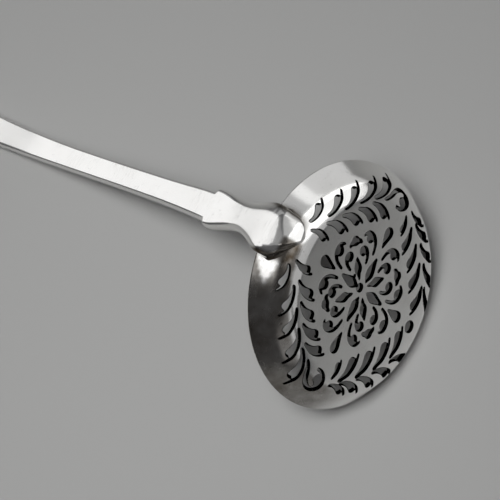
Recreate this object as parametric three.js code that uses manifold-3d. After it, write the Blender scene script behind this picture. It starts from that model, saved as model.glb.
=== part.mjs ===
// Silver sugar sifter ladle: a round raised bowl, saw-pierced with scrolls and leafy fronds, a forged
// fiddle handle whose drop laps the bowl's wall, and the solder seam that joins the two.
// Millimetres. The part lies face down, as it is put away: far rim and handle tip on the table, +Z up.
import * as THREE from 'three';
import { mergeVertices } from 'three/addons/utils/BufferGeometryUtils.js';
import Module from 'manifold-3d';

// Driving sizes of the bowl.
const FLAT_RADIUS = 17.5; // flat bottom of the bowl, where the rosette is pierced
const SHOULDER_RADIUS = 6.8; // bend from the bottom into the wall, on the outside
const SHOULDER_TURN = THREE.MathUtils.degToRad(51); // how far the wall turns down from the bottom
const WALL_LENGTH = 4.1; // plain wall, measured along its slope
const SHEET = 0.9; // thickness of the raised sheet
const RIM_EDGE = 0.2; // softening of the rim's two edges
const BOWL_SEGMENTS = 72;
const SHOULDER_STEPS = 6;

// Driving sizes of the piercing, which is laid out flat and then wrapped over the bowl.
const PIERCING_TURN = THREE.MathUtils.degToRad(-133); // the fronds' square, turned to face the handle
const PIERCING_SHIFT = 0.6; // the sawyer's centre lies this far towards the handle
const FROND_INSET = 0.5; // the fronds' stems lie this far inside the edge of the flat bottom
const ROSETTE_SHARE = 0.647; // radius of the rosette, to the top of its trefoils, in fronds' spans
const EYE_RADIUS = 0.75; // round hole at the centre
const EYE_SIDES = 12;
const BUD_OUT = 0.5; // small bud beyond the span, where the two far fronds meet
const BUD_RADIUS = 1.2;
const BUD_FLAT = 0.9; // its inner side is cut straight, this far within the span
const SAW_OVERRUN = 1.2; // how far a cutter stands out of the sheet

// Driving sizes of the handle.
const JOINT_GAP = 0.3; // the solder's clearance between the drop and the bowl
const DROP_LAP = 6.9; // how far the drop reaches down the bowl from the rim
const HANDLE_REACH = 127; // along the handle from the rim to its end
const STEM_HALF_WIDTH = 2.5;
const STEM_THICKNESS = 2.4;
const HANDLE_STEPS = 44;

// Driving sizes of the solder seam.
const SEAM_WIDTH = 0.7;
const SEAM_HEIGHT = 0.5;
const SEAM_STEPS = 12;

// Leaf outline: first along the line from its base to the tip of its tail, then across that line.
const LEAF_SHARES = [
  [0, 0], [0.14, -0.13], [0.35, -0.2], [0.58, -0.215], [0.76, -0.17], [0.88, -0.1], [1, -0.02],
  [0.97, 0.02], [0.86, -0.05], [0.79, -0.06], [0.76, 0.02], [0.68, 0.07], [0.59, 0.055], [0.46, -0.01],
  [0.3, -0.055], [0.12, -0.04],
];
// Fronds: for each leaf the base and the tail's tip, along the stem and then out from the centre.
const NEAR_INNER_SHARES = [
  [-0.67, 0.91, -0.425, 0.74], [-0.447, 0.938, -0.135, 0.745], [-0.206, 0.962, 0.115, 0.772],
  [0.058, 0.978, 0.335, 0.722], [0.31, 0.972, 0.55, 0.675],
];
const NEAR_OUTER_SHARES = [
  [-0.675, 1.006, -0.418, 1.247], [-0.412, 1.018, -0.112, 1.285], [-0.135, 1.04, 0.17, 1.31],
  [0.112, 1.05, 0.506, 1.277], [0.356, 1.035, 0.83, 1.206],
];
const FAR_INNER_SHARES = [
  [-0.64, 0.86, -0.44, 0.72], [-0.506, 0.93, -0.176, 0.73], [-0.253, 0.994, 0.082, 0.765],
  [0.018, 1.012, 0.34, 0.76], [0.318, 0.994, 0.594, 0.718],
];
const FAR_OUTER_SHARES = [
  [-0.665, 0.965, -0.42, 1.21], [-0.505, 1.0, -0.2, 1.27], [-0.235, 1.045, 0.075, 1.31],
  [0.03, 1.07, 0.41, 1.29], [0.33, 1.05, 0.74, 1.19],
];
// Scroll that ends a near frond at the bowl's side, in shares of the frond's span.
const CORNER_SCROLL_SHARES = [
  [0.53, 0.962], [0.65, 0.965], [0.755, 0.985], [0.853, 0.99], [0.941, 0.959], [0.991, 0.895],
  [0.988, 0.823], [0.935, 0.76], [0.859, 0.726], [0.776, 0.729], [0.718, 0.759], [0.688, 0.806],
  [0.735, 0.776], [0.785, 0.765], [0.78, 0.8], [0.785, 0.838], [0.815, 0.868], [0.86, 0.86],
  [0.905, 0.838], [0.935, 0.868], [0.915, 0.918], [0.85, 0.95], [0.76, 0.95], [0.655, 0.932],
  [0.53, 0.94],
];
// Rosette outlines, in shares of its radius: across the motif's axis and then out along it.
const PETAL_SHARES = [
  [0, 0.18], [0.02, 0.26], [0.062, 0.33], [0.076, 0.395], [0.05, 0.5], [0, 0.605],
  [-0.05, 0.5], [-0.076, 0.395], [-0.062, 0.33], [-0.02, 0.26],
];
const COMMA_SHARES = [
  [0.216, 0.634], [0.168, 0.618], [0.12, 0.64], [0.098, 0.692], [0.116, 0.746], [0.166, 0.772],
  [0.222, 0.762], [0.266, 0.72], [0.283, 0.658], [0.277, 0.582], [0.246, 0.51], [0.188, 0.442],
  [0.213, 0.516], [0.238, 0.586],
];
const SCROLL_SHARES = [
  [0.25, 0.95], [0.3, 0.98], [0.373, 0.985], [0.445, 0.95], [0.495, 0.882], [0.513, 0.8],
  [0.5, 0.71], [0.46, 0.622], [0.39, 0.54], [0.43, 0.634], [0.462, 0.716], [0.466, 0.78],
  [0.448, 0.814], [0.398, 0.792], [0.342, 0.806], [0.31, 0.856], [0.318, 0.908], [0.322, 0.935],
];
const TREFOIL_SHARES = [
  [-0.15, 0.852], [-0.134, 0.912], [-0.075, 0.952], [-0.032, 0.994], [0.032, 0.994], [0.075, 0.952],
  [0.134, 0.912], [0.15, 0.852], [0.092, 0.878], [0.04, 0.852], [-0.04, 0.852], [-0.092, 0.878],
];
const TEARDROP_SHARES = [
  [0, 0.865], [0.035, 0.96], [0.072, 1.055], [0.092, 1.13], [0.078, 1.2], [0.03, 1.243],
  [-0.03, 1.243], [-0.078, 1.2], [-0.092, 1.13], [-0.072, 1.055], [-0.035, 0.96],
];

// Handle: how far it leans out from the bowl's axis, in degrees, along its length from the rim.
const LEAN_SHARES = [
  [0, 14], [0.024, 0], [0.07, 1], [0.118, 7], [0.173, 13.5], [0.315, 12.5], [0.41, 13], [0.488, 17],
  [0.6, 25.5], [0.756, 36.5], [1, 52],
];
// Handle: half width in shares of the stem's, from the drop's tip (lap, below 0) to the end (reach).
const LAP_WIDTH_SHARES = [
  [-1, 0.02], [-0.975, 0.24], [-0.93, 0.44], [-0.855, 0.62], [-0.725, 0.88], [-0.61, 1.12],
  [-0.46, 1.38], [-0.3, 1.62], [-0.145, 1.78],
];
const REACH_WIDTH_SHARES = [
  [0, 1.89], [0.008, 1.94], [0.016, 1.85], [0.0245, 1.68], [0.033, 1.54], [0.042, 1.42], [0.05, 1.31],
  [0.059, 1.25], [0.067, 1.22], [0.075, 1.22], [0.083, 1.24], [0.091, 1.29], [0.099, 1.35],
  [0.106, 1.45], [0.114, 1.58], [0.123, 1.68], [0.13, 1.7], [0.133, 1.64], [0.1345, 1.3], [0.146, 1.21],
  [0.1575, 1.16], [0.197, 1.08], [0.236, 1.03], [0.315, 1], [0.394, 1], [0.472, 1.04], [0.551, 1.13],
  [0.59, 1.2], [0.63, 1.32], [0.672, 1.5], [0.69, 1.64], [0.6935, 2.8], [0.705, 2.88], [0.73, 2.67],
  [0.77, 2.75], [0.82, 3.22], [0.865, 3.74], [0.905, 4.06], [0.935, 4.04], [0.96, 3.61], [0.98, 2.8],
  [0.993, 1.76], [1, 0.43],
];
// Handle: thickness in shares of the stem's, at the same two kinds of place.
const LAP_THICKNESS_SHARES = [[-1, 0.2], [-0.8, 0.42], [-0.45, 0.56]];
const REACH_THICKNESS_SHARES = [
  [0, 0.62], [0.02, 0.72], [0.05, 1], [0.09, 1.12], [0.13, 1.1], [0.24, 1], [0.5, 0.9], [0.69, 0.82],
  [0.9, 0.72], [1, 0.66],
];
// Section of the handle: across in shares of the half width, down in shares of the thickness.
const SECTION_SHARES = [
  [1, 0.5], [0.96, 0.22], [0.84, 0.07], [0.48, 0], [-0.48, 0], [-0.84, 0.07], [-0.96, 0.22],
  [-1, 0.5], [-0.96, 0.8], [-0.82, 0.96], [0, 1], [0.82, 0.96], [0.96, 0.8],
];

const wasm = await Module();
wasm.setup();

// The bowl's skin.
const SHOULDER_LENGTH = SHOULDER_RADIUS * SHOULDER_TURN;
const RIM_AT = FLAT_RADIUS + SHOULDER_LENGTH + WALL_LENGTH; // from the centre to the rim, over the skin
const FROND_SPAN = FLAT_RADIUS - FROND_INSET; // from the centre to a frond's stem
const ROSETTE_RADIUS = ROSETTE_SHARE * FROND_SPAN;

/** Radius, height and slope of the bowl at a distance over its skin, set off outwards by `off`. */
function skin(along, off) {
  if (along <= FLAT_RADIUS) {
    return { radius: along, height: off, slope: 0 };
  }
  const slope = Math.min((along - FLAT_RADIUS) / SHOULDER_RADIUS, SHOULDER_TURN);
  const straight = Math.max(along - FLAT_RADIUS - SHOULDER_LENGTH, 0);
  const bend = SHOULDER_RADIUS + off;
  return {
    radius: FLAT_RADIUS + bend * Math.sin(slope) + straight * Math.cos(slope),
    height: bend * Math.cos(slope) - SHOULDER_RADIUS - straight * Math.sin(slope),
    slope,
  };
}

/** A point of the flat layout, wrapped over the bowl and set off outwards. */
function wrap(x, y, off) {
  const along = Math.hypot(x, y);
  const { radius, height } = skin(along, off);
  const scale = along > 0 ? radius / along : 1;
  return new THREE.Vector3(x * scale, y * scale, height);
}

/** Makes a closed geometry into a manifold solid, turned right side out. */
function solid(geometry) {
  geometry.deleteAttribute('normal');
  geometry.deleteAttribute('uv');
  const merged = mergeVertices(geometry);
  const position = merged.getAttribute('position').array;
  const index = Uint32Array.from(merged.getIndex().array);
  const [a, b, c] = [new THREE.Vector3(), new THREE.Vector3(), new THREE.Vector3()];
  const corner = [];
  let volume = 0;
  for (let i = 0; i < index.length; i += 3) {
    a.fromArray(position, 3 * index[i]);
    b.fromArray(position, 3 * index[i + 1]);
    c.fromArray(position, 3 * index[i + 2]);
    volume += a.dot(b.cross(c));
    if (index[i] !== index[i + 1] && index[i + 1] !== index[i + 2] && index[i] !== index[i + 2]) {
      corner.push(index[i], index[i + 1], index[i + 2]);
    }
  }
  if (volume < 0) {
    corner.reverse();
  }
  const mesh = new wasm.Mesh({
    numProp: 3,
    vertProperties: Float32Array.from(position),
    triVerts: Uint32Array.from(corner),
  });
  mesh.merge();
  return new wasm.Manifold(mesh);
}

/** Geometry of a manifold solid. */
function geometryOf(manifold) {
  const mesh = manifold.getMesh();
  const geometry = new THREE.BufferGeometry();
  geometry.setAttribute('position', new THREE.BufferAttribute(mesh.vertProperties, 3));
  geometry.setIndex(new THREE.BufferAttribute(mesh.triVerts, 1));
  geometry.computeVertexNormals();
  return geometry;
}

/** Closed solid through rings of the same number of points, with a flat end at each side. */
function loft(rings) {
  const count = rings[0].length;
  const points = rings.flat();
  const index = [];
  for (let ring = 0; ring + 1 < rings.length; ring += 1) {
    for (let side = 0; side < count; side += 1) {
      const next = (side + 1) % count;
      const [a, b] = [ring * count + side, ring * count + next];
      index.push(a, b, b + count, a, b + count, a + count);
    }
  }
  const last = (rings.length - 1) * count;
  for (let side = 1; side + 1 < count; side += 1) {
    index.push(0, side + 1, side, last, last + side, last + side + 1);
  }
  const geometry = new THREE.BufferGeometry().setFromPoints(points);
  geometry.setIndex(index);
  return solid(geometry);
}

/** Solid of revolution about Z from a profile of [radius, height] pairs. */
function revolve(profile) {
  const lathe = new THREE.LatheGeometry(
    profile.map(([radius, height]) => new THREE.Vector2(radius, height)),
    BOWL_SEGMENTS,
  );
  lathe.rotateX(Math.PI / 2);
  return solid(lathe);
}

/** Reads a table of [place, value] rows, straight between the rows. */
function read(table, place) {
  const at = table.findIndex((row) => row[0] >= place);
  if (at === 0) {
    return table[0][1];
  }
  if (at < 0) {
    return table[table.length - 1][1];
  }
  const [low, high] = [table[at - 1], table[at]];
  return THREE.MathUtils.mapLinear(place, low[0], high[0], low[1], high[1]);
}

/** Prism through the sheet over one outline of the flat layout. */
function sawCut(outline) {
  const [cos, sin] = [Math.cos(PIERCING_TURN), Math.sin(PIERCING_TURN)];
  const laid = outline.map(([x, y]) => new THREE.Vector2(
    x * cos - y * sin + PIERCING_SHIFT,
    x * sin + y * cos,
  ));
  if (THREE.ShapeUtils.isClockWise(laid)) {
    laid.reverse();
  }
  const count = laid.length;
  const outside = laid.map((p) => wrap(p.x, p.y, SAW_OVERRUN));
  const inside = laid.map((p) => wrap(p.x, p.y, -SHEET - SAW_OVERRUN));
  const index = [];
  for (const [a, b, c] of THREE.ShapeUtils.triangulateShape(laid, [])) {
    index.push(a, b, c, count + a, count + c, count + b);
  }
  for (let side = 0; side < count; side += 1) {
    const next = (side + 1) % count;
    index.push(side, count + side, count + next, side, count + next, next);
  }
  const geometry = new THREE.BufferGeometry().setFromPoints([...outside, ...inside]);
  geometry.setIndex(index);
  return solid(geometry);
}

/** Outline scaled from shares, turned over across the motif's axis where asked, and set at its angle. */
function motif(shares, size, angle, turnedOver) {
  const side = turnedOver ? -1 : 1;
  const [cos, sin] = [Math.cos(angle), Math.sin(angle)];
  return shares.map(([across, out]) => {
    const [x, y] = [side * across * size, out * size];
    return [x * cos - y * sin, x * sin + y * cos];
  });
}

/** One leaf from its base to the tip of its tail; `side` is the side its head lies on. */
function leaf(baseX, baseY, tipX, tipY, side) {
  const [x, y] = [tipX - baseX, tipY - baseY];
  return LEAF_SHARES.map(([along, across]) => [
    baseX + along * x - side * across * y,
    baseY + along * y + side * across * x,
  ]);
}

/** Ten leaves of one frond, along the top of the square. */
function frond(innerShares, outerShares) {
  const leaves = [];
  for (const row of innerShares) {
    leaves.push(leaf(...row.map((share) => share * FROND_SPAN), -1));
  }
  for (const row of outerShares) {
    leaves.push(leaf(...row.map((share) => share * FROND_SPAN), 1));
  }
  return leaves;
}

const turned = ([x, y]) => [y, -x]; // a quarter turn, from the top of the square to its right side
const mirrored = ([x, y]) => [-y, -x]; // across the handle's diagonal

/** All the outlines of the piercing, in the flat layout. */
function piercing() {
  const outlines = [];
  const eye = [];
  for (let side = 0; side < EYE_SIDES; side += 1) {
    const angle = (side / EYE_SIDES) * 2 * Math.PI;
    eye.push([EYE_RADIUS * Math.cos(angle), EYE_RADIUS * Math.sin(angle)]);
  }
  outlines.push(eye);
  for (let quarter = 0; quarter < 4; quarter += 1) {
    const angle = (quarter * Math.PI) / 2;
    const diagonal = angle + Math.PI / 4;
    outlines.push(motif(PETAL_SHARES, ROSETTE_RADIUS, angle, false));
    outlines.push(motif(PETAL_SHARES, ROSETTE_RADIUS, diagonal, false));
    outlines.push(motif(TREFOIL_SHARES, ROSETTE_RADIUS, angle, false));
    outlines.push(motif(TEARDROP_SHARES, ROSETTE_RADIUS, diagonal, false));
    for (const turnedOver of [false, true]) {
      outlines.push(motif(COMMA_SHARES, ROSETTE_RADIUS, angle, turnedOver));
      outlines.push(motif(SCROLL_SHARES, ROSETTE_RADIUS, angle, turnedOver));
    }
  }
  const near = frond(NEAR_INNER_SHARES, NEAR_OUTER_SHARES);
  near.push(motif(CORNER_SCROLL_SHARES, FROND_SPAN, 0, false));
  const far = frond(FAR_INNER_SHARES, FAR_OUTER_SHARES).map((outline) => outline.map(turned));
  for (const outline of [...near, ...far]) {
    outlines.push(outline, outline.map(mirrored));
  }
  const bud = [];
  for (let side = 0; side < EYE_SIDES; side += 1) {
    const angle = ((side + 0.5) / EYE_SIDES - 0.5) * 2 * Math.PI;
    const out = FROND_SPAN + Math.max(BUD_OUT + BUD_RADIUS * Math.cos(angle), -BUD_FLAT);
    bud.push([out, BUD_RADIUS * Math.sin(angle)]);
  }
  const corner = -Math.PI / 4;
  outlines.push(bud.map(([x, y]) => [
    x * Math.cos(corner) - y * Math.sin(corner),
    x * Math.sin(corner) + y * Math.cos(corner),
  ]));
  return outlines;
}

/** Profile points over the skin from the centre outwards, at one distance from the outside. */
function skinProfile(off, rimAt) {
  const points = [[0, off]];
  for (let step = 0; step <= SHOULDER_STEPS; step += 1) {
    const at = skin(FLAT_RADIUS + (SHOULDER_LENGTH * step) / SHOULDER_STEPS, off);
    points.push([at.radius, at.height]);
  }
  const rim = skin(rimAt, off);
  points.push([rim.radius, rim.height]);
  return points;
}

/** Bowl turned from its profile and then saw-pierced. */
function makeBowl() {
  const outside = skinProfile(0, RIM_AT - RIM_EDGE);
  const inside = skinProfile(-SHEET, RIM_AT - RIM_EDGE).reverse();
  const edge = [-RIM_EDGE, RIM_EDGE - SHEET].map((off) => {
    const at = skin(RIM_AT, off);
    return [at.radius, at.height];
  });
  let bowl = revolve([...outside, ...edge, ...inside]);
  for (const outline of piercing()) {
    bowl = bowl.subtract(sawCut(outline));
  }
  return bowl;
}

/** Half width of the handle at a place, measured from the rim; the drop lies below 0. */
function halfWidth(place) {
  if (place < 0) {
    return STEM_HALF_WIDTH * read([...LAP_WIDTH_SHARES, REACH_WIDTH_SHARES[0]], place / DROP_LAP);
  }
  return STEM_HALF_WIDTH * read(REACH_WIDTH_SHARES, place / HANDLE_REACH);
}

/** Thickness of the handle at a place. The drop is left thick below and is then fitted to the bowl. */
function thickness(place) {
  if (place < 0) {
    const shares = [...LAP_THICKNESS_SHARES, REACH_THICKNESS_SHARES[0]];
    return JOINT_GAP + STEM_THICKNESS * read(shares, place / DROP_LAP);
  }
  return STEM_THICKNESS * read(REACH_THICKNESS_SHARES, place / HANDLE_REACH);
}

/** Points down the middle of the handle's outer face, each with its place. */
const faceLine = (() => {
  const rows = [];
  const lapSteps = HANDLE_STEPS / 4;
  for (let step = 0; step < lapSteps; step += 1) {
    const place = -DROP_LAP * (1 - step / lapSteps);
    const at = skin(RIM_AT + place, thickness(place));
    rows.push({ place, x: at.radius, z: at.height });
  }
  const rim = skin(RIM_AT, JOINT_GAP + thickness(0));
  let [x, z] = [rim.radius, rim.height];
  const reachSteps = HANDLE_STEPS * 6;
  const stride = HANDLE_REACH / reachSteps;
  for (let step = 0; step <= reachSteps; step += 1) {
    rows.push({ place: step * stride, x, z });
    const lean = THREE.MathUtils.degToRad(read(LEAN_SHARES, (step + 0.5) / reachSteps));
    x += stride * Math.sin(lean);
    z -= stride * Math.cos(lean);
  }
  return rows;
})();

/** Point on the outer face at a place, and the outward normal there, both in the XZ plane. */
function faceAt(place) {
  let at = faceLine.findIndex((row) => row.place >= place);
  at = THREE.MathUtils.clamp(at < 0 ? faceLine.length - 1 : at, 1, faceLine.length - 1);
  const [low, high] = [faceLine[at - 1], faceLine[at]];
  const share = (place - low.place) / (high.place - low.place);
  const before = faceLine[Math.max(at - 3, 0)];
  const after = faceLine[Math.min(at + 2, faceLine.length - 1)];
  const run = new THREE.Vector3(after.x - before.x, 0, after.z - before.z).normalize();
  return {
    point: new THREE.Vector3(low.x + share * (high.x - low.x), 0, low.z + share * (high.z - low.z)),
    normal: new THREE.Vector3(-run.z, 0, run.x),
  };
}

/** Handle lofted through its sections, with the drop hollowed to fit over the bowl. */
function makeHandle() {
  const places = [
    ...LAP_WIDTH_SHARES.map((row) => row[0] * DROP_LAP),
    ...REACH_WIDTH_SHARES.map((row) => row[0] * HANDLE_REACH),
  ];
  for (let step = 0; step < HANDLE_STEPS / 2; step += 1) {
    const place = (step / (HANDLE_STEPS / 2)) * HANDLE_REACH;
    if (places.every((other) => Math.abs(other - place) > STEM_HALF_WIDTH / 2)) {
      places.push(place);
    }
  }
  places.sort((a, b) => a - b);
  const rings = places.map((place) => {
    const { point, normal } = faceAt(place);
    const [wide, thick] = [halfWidth(place), thickness(place)];
    return SECTION_SHARES.map(([across, down]) => new THREE.Vector3(
      point.x - normal.x * down * thick,
      across * wide,
      point.z - normal.z * down * thick,
    ));
  });
  const fitted = skinProfile(JOINT_GAP, RIM_AT + JOINT_GAP);
  const [radius, height] = fitted[fitted.length - 1];
  return loft(rings).subtract(revolve([...fitted, [radius - SHEET, height], [0, height]]));
}

/** Place over the skin, sideways of the handle's middle, that lies level with a place on the drop. */
function besideDrop(place, side) {
  const { point, normal } = faceAt(place);
  let [low, high] = [RIM_AT + place - STEM_HALF_WIDTH, RIM_AT + place + STEM_HALF_WIDTH];
  const spot = (along) => {
    const { radius, height } = skin(along, 0);
    const x = Math.sqrt(Math.max(radius * radius - side * side, 0));
    return new THREE.Vector3(x, side, height);
  };
  for (let turn = 0; turn < 40; turn += 1) {
    const middle = (low + high) / 2;
    const from = spot(middle).sub(point);
    if (from.x * -normal.z + from.z * normal.x < 0) {
      high = middle;
    } else {
      low = middle;
    }
  }
  const at = spot(low);
  const angle = Math.atan2(at.y, at.x);
  return new THREE.Vector2(low * Math.cos(angle), low * Math.sin(angle));
}

/** Bead of solder that follows the drop's edge over the bowl. */
function makeSeam() {
  const edge = [];
  for (let step = 0; step <= SEAM_STEPS; step += 1) {
    const place = -DROP_LAP * Math.sin((step / SEAM_STEPS) * (Math.PI / 2));
    edge.push(besideDrop(place, halfWidth(place)));
  }
  const path = [...edge, ...edge.slice(0, -1).reverse().map((p) => new THREE.Vector2(p.x, -p.y))];
  const rings = path.map((spot, i) => {
    const run = path[Math.min(i + 1, path.length - 1)].clone().sub(path[Math.max(i - 1, 0)]).normalize();
    const out = new THREE.Vector2(run.y, -run.x);
    const foot = spot.clone().addScaledVector(out, JOINT_GAP);
    const toe = spot.clone().addScaledVector(out, JOINT_GAP + SEAM_WIDTH);
    return [
      wrap(foot.x, foot.y, JOINT_GAP),
      wrap(toe.x, toe.y, JOINT_GAP),
      wrap(foot.x, foot.y, JOINT_GAP + SEAM_HEIGHT),
    ];
  });
  return loft(rings);
}

const silver = (color, roughness) => new THREE.MeshStandardMaterial({ color, roughness, metalness: 1 });
const pieces = [
  ['sifter_bowl', makeBowl(), silver(0xc8c6c0, 0.24)],
  ['handle', makeHandle(), silver(0xd2d0ca, 0.2)],
  ['solder_seam', makeSeam(), silver(0xb4b1a9, 0.38)],
].map(([name, manifold, material]) => {
  const mesh = new THREE.Mesh(geometryOf(manifold), material);
  mesh.name = name;
  return mesh;
});

/** Lowest point of a piece once the ladle is turned about Y. */
function lowest(mesh, tilt) {
  const position = mesh.geometry.getAttribute('position');
  let low = Infinity;
  for (let i = 0; i < position.count; i += 1) {
    low = Math.min(low, position.getZ(i) * Math.cos(tilt) + position.getX(i) * Math.sin(tilt));
  }
  return low;
}

// Face down, the ladle leans until the rim and the tip of the handle both touch the table.
const [bowl, handle] = pieces;
let [less, more] = [0, Math.PI / 2];
for (let turn = 0; turn < 40; turn += 1) {
  const tilt = (less + more) / 2;
  if (lowest(handle, tilt) < lowest(bowl, tilt)) {
    less = tilt;
  } else {
    more = tilt;
  }
}
const tilt = (less + more) / 2;

const ladle = new THREE.Group();
ladle.add(...pieces);
ladle.rotation.y = -tilt;
ladle.updateMatrixWorld(true);
const box = new THREE.Box3().setFromObject(ladle, true);
const middle = box.getCenter(new THREE.Vector3());
ladle.position.set(-middle.x, -middle.y, -box.min.z);

const group = new THREE.Group();
group.add(ladle);
group.updateMatrixWorld(true);

export default group;
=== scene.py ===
"""Looks of a silver sugar sifter ladle: pierced bowl, forged fiddle handle and the solder between them.

Shapes are worked out in millimetres in the bowl's own frame: Z out of the pierced bottom, X towards the
handle. Placement then lays the ladle face down on the table, in metres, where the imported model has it.
"""

import logging
import math
from dataclasses import dataclass, field
from enum import Enum
from functools import reduce
from typing import Any, Sequence

import bpy
import numpy as np
from mathutils import Matrix, Vector
from mathutils.geometry import delaunay_2d_cdt


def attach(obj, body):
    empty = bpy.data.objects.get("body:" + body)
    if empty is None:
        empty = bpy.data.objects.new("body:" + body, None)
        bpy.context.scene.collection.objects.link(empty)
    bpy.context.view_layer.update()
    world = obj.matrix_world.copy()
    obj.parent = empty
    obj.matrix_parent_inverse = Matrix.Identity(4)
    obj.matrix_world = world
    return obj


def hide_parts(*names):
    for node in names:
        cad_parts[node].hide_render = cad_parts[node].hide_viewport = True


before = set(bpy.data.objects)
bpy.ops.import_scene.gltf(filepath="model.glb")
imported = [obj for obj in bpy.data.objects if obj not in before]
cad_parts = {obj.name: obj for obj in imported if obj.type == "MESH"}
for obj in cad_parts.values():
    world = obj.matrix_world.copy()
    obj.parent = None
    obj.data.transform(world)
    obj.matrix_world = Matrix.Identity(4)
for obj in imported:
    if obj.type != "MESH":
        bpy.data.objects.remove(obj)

log = logging.getLogger("ladle")
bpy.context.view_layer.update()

Table = Sequence[Sequence[float]]
Band = tuple[float, float]
Vec3 = tuple[float, float, float]

CURVE_STEPS = 12  # on each stretch of an outline, before its points are spaced evenly
LEAST_POINTS = 14  # round the smallest holes
MM_PER_M = 1000.0
TINY = 1e-9  # keeps a division at the bowl's centre finite


# Numbers on curves and outlines.


def smooth_read(table: Table, places: np.ndarray) -> np.ndarray:
    """Reads a table of (place, value) rows along a smooth curve that never overshoots its rows.

    Between two rows the value is the cubic with the rows' slopes; a row's slope is the harmonic mean of
    the chords beside it, and nought where they differ in sign.

    Args:
        table: rows of place and value, places rising.
        places: where to read.

    Returns:
        The values, one for each place.
    """
    rows = np.asarray(table, float)
    at, value = rows[:, 0], rows[:, 1]
    step = np.diff(at)
    chord = np.diff(value) / step
    same = chord[:-1] * chord[1:] > 0
    total = np.where(same, chord[:-1] + chord[1:], 1.0)
    slope = np.zeros(len(at))
    slope[1:-1] = np.where(same, 2.0 * chord[:-1] * chord[1:] / total, 0.0)
    slope[0], slope[-1] = chord[0], chord[-1]
    k = np.clip(np.searchsorted(at, places) - 1, 0, len(at) - 2)
    u = np.clip((places - at[k]) / step[k], 0.0, 1.0)
    low = (1 + 2 * u) * (1 - u) ** 2 * value[k] + u * (1 - u) ** 2 * step[k] * slope[k]
    return low + u * u * (3 - 2 * u) * value[k + 1] + u * u * (u - 1) * step[k] * slope[k + 1]


def ease(low: float, high: float, x: np.ndarray) -> np.ndarray:
    """Rises smoothly from 0 at low to 1 at high: 3u^2 - 2u^3 of the share u of the way."""
    u = np.clip((x - low) / (high - low), 0.0, 1.0)
    return u * u * (3 - 2 * u)


def rounded(outline: Table, spacing: float) -> np.ndarray:
    """Smooth closed curve through an outline's points, cut into even steps.

    Each stretch is a centripetal Catmull-Rom curve: knots lie the square root of the chord apart, so
    the curve keeps close to its points at sharp turns.

    Args:
        outline: points of x and y.
        spacing: length of a step, about.

    Returns:
        Points on the curve, anticlockwise, shape (n, 2).
    """
    p = np.asarray(outline, float)
    p0, p3 = np.roll(p, 1, 0), np.roll(p, -2, 0)
    p1, p2 = p, np.roll(p, -1, 0)
    gap = [np.sqrt(np.linalg.norm(b - a, axis=1))[:, None, None] for a, b in ((p0, p1), (p1, p2), (p2, p3))]
    t1 = gap[0]
    t2 = t1 + gap[1]
    t3 = t2 + gap[2]
    t = t1 + (t2 - t1) * np.linspace(0, 1, CURVE_STEPS, endpoint=False)[None, :, None]
    q0, q1, q2, q3 = (q[:, None, :] for q in (p0, p1, p2, p3))
    a1 = (t1 - t) / t1 * q0 + t / t1 * q1
    a2 = (t2 - t) / (t2 - t1) * q1 + (t - t1) / (t2 - t1) * q2
    a3 = (t3 - t) / (t3 - t2) * q2 + (t - t2) / (t3 - t2) * q3
    b1 = (t2 - t) / t2 * a1 + t / t2 * a2
    b2 = (t3 - t) / (t3 - t1) * a2 + (t - t1) / (t3 - t1) * a3
    curve = ((t2 - t) / (t2 - t1) * b1 + (t - t1) / (t2 - t1) * b2).reshape(-1, 2)
    closed = np.vstack([curve, curve[:1]])
    run = np.concatenate([[0], np.cumsum(np.linalg.norm(np.diff(closed, axis=0), axis=1))])
    count = max(int(round(run[-1] / spacing)), LEAST_POINTS)
    at = np.linspace(0, run[-1], count, endpoint=False)
    even = np.stack([np.interp(at, run, closed[:, 0]), np.interp(at, run, closed[:, 1])], 1)
    nxt = np.roll(even, -1, 0)
    area = np.sum(even[:, 0] * nxt[:, 1] - nxt[:, 0] * even[:, 1])
    return even if area > 0 else even[::-1].copy()


def outward(curve: np.ndarray) -> np.ndarray:
    """Directions out of a closed curve, square to the chord between each point's neighbours.

    Args:
        curve: points, anticlockwise.

    Returns:
        A unit vector for each point.
    """
    run = np.roll(curve, -1, 0) - np.roll(curve, 1, 0)
    run /= np.linalg.norm(run, axis=1, keepdims=True)
    return np.stack([run[:, 1], -run[:, 0]], 1)


def inside(points: np.ndarray, outline: np.ndarray) -> np.ndarray:
    """Tells which points lie in a closed outline: an odd number of its sides pass to their right.

    Args:
        points: places to test, shape (n, 2).
        outline: corners of the outline, shape (m, 2).

    Returns:
        True for each point inside.
    """
    a, b = outline, np.roll(outline, -1, 0)
    x, y = points[:, :1], points[:, 1:]
    spans = (a[:, 1] > y) != (b[:, 1] > y)
    rise = np.where(b[:, 1] == a[:, 1], 1.0, b[:, 1] - a[:, 1])
    cross = (b[:, 0] - a[:, 0]) * (y - a[:, 1]) / rise + a[:, 0]
    return (np.sum(spans & (x < cross), axis=1) % 2) == 1


# The ladle's frames.


@dataclass(frozen=True)
class Placement:
    """Lays the ladle face down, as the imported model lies: a turn about Y, then a shift.

    The turn, in radians, brings the far side of the rim and the low point of the handle's bend to one
    height. The shift, in millimetres, sets them on the table and centres the ladle's length.
    """

    tilt: float = 0.8679125542751762
    shift: Vec3 = (-62.817011, 0.0, 23.004714)

    def matrix(self) -> np.ndarray:
        """Rows of the turn from the bowl's frame to the table's."""
        c, s = math.cos(self.tilt), math.sin(self.tilt)
        return np.array([[c, 0, -s], [0, 1, 0], [s, 0, c]])

    def points(self, local: np.ndarray) -> np.ndarray:
        """Points of the bowl's frame in millimetres, as points of the table's frame in metres."""
        return (local @ self.matrix().T + np.asarray(self.shift)) / MM_PER_M

    def directions(self, local: np.ndarray) -> np.ndarray:
        """Directions of the bowl's frame, as directions of the table's."""
        return local @ self.matrix().T


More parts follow.
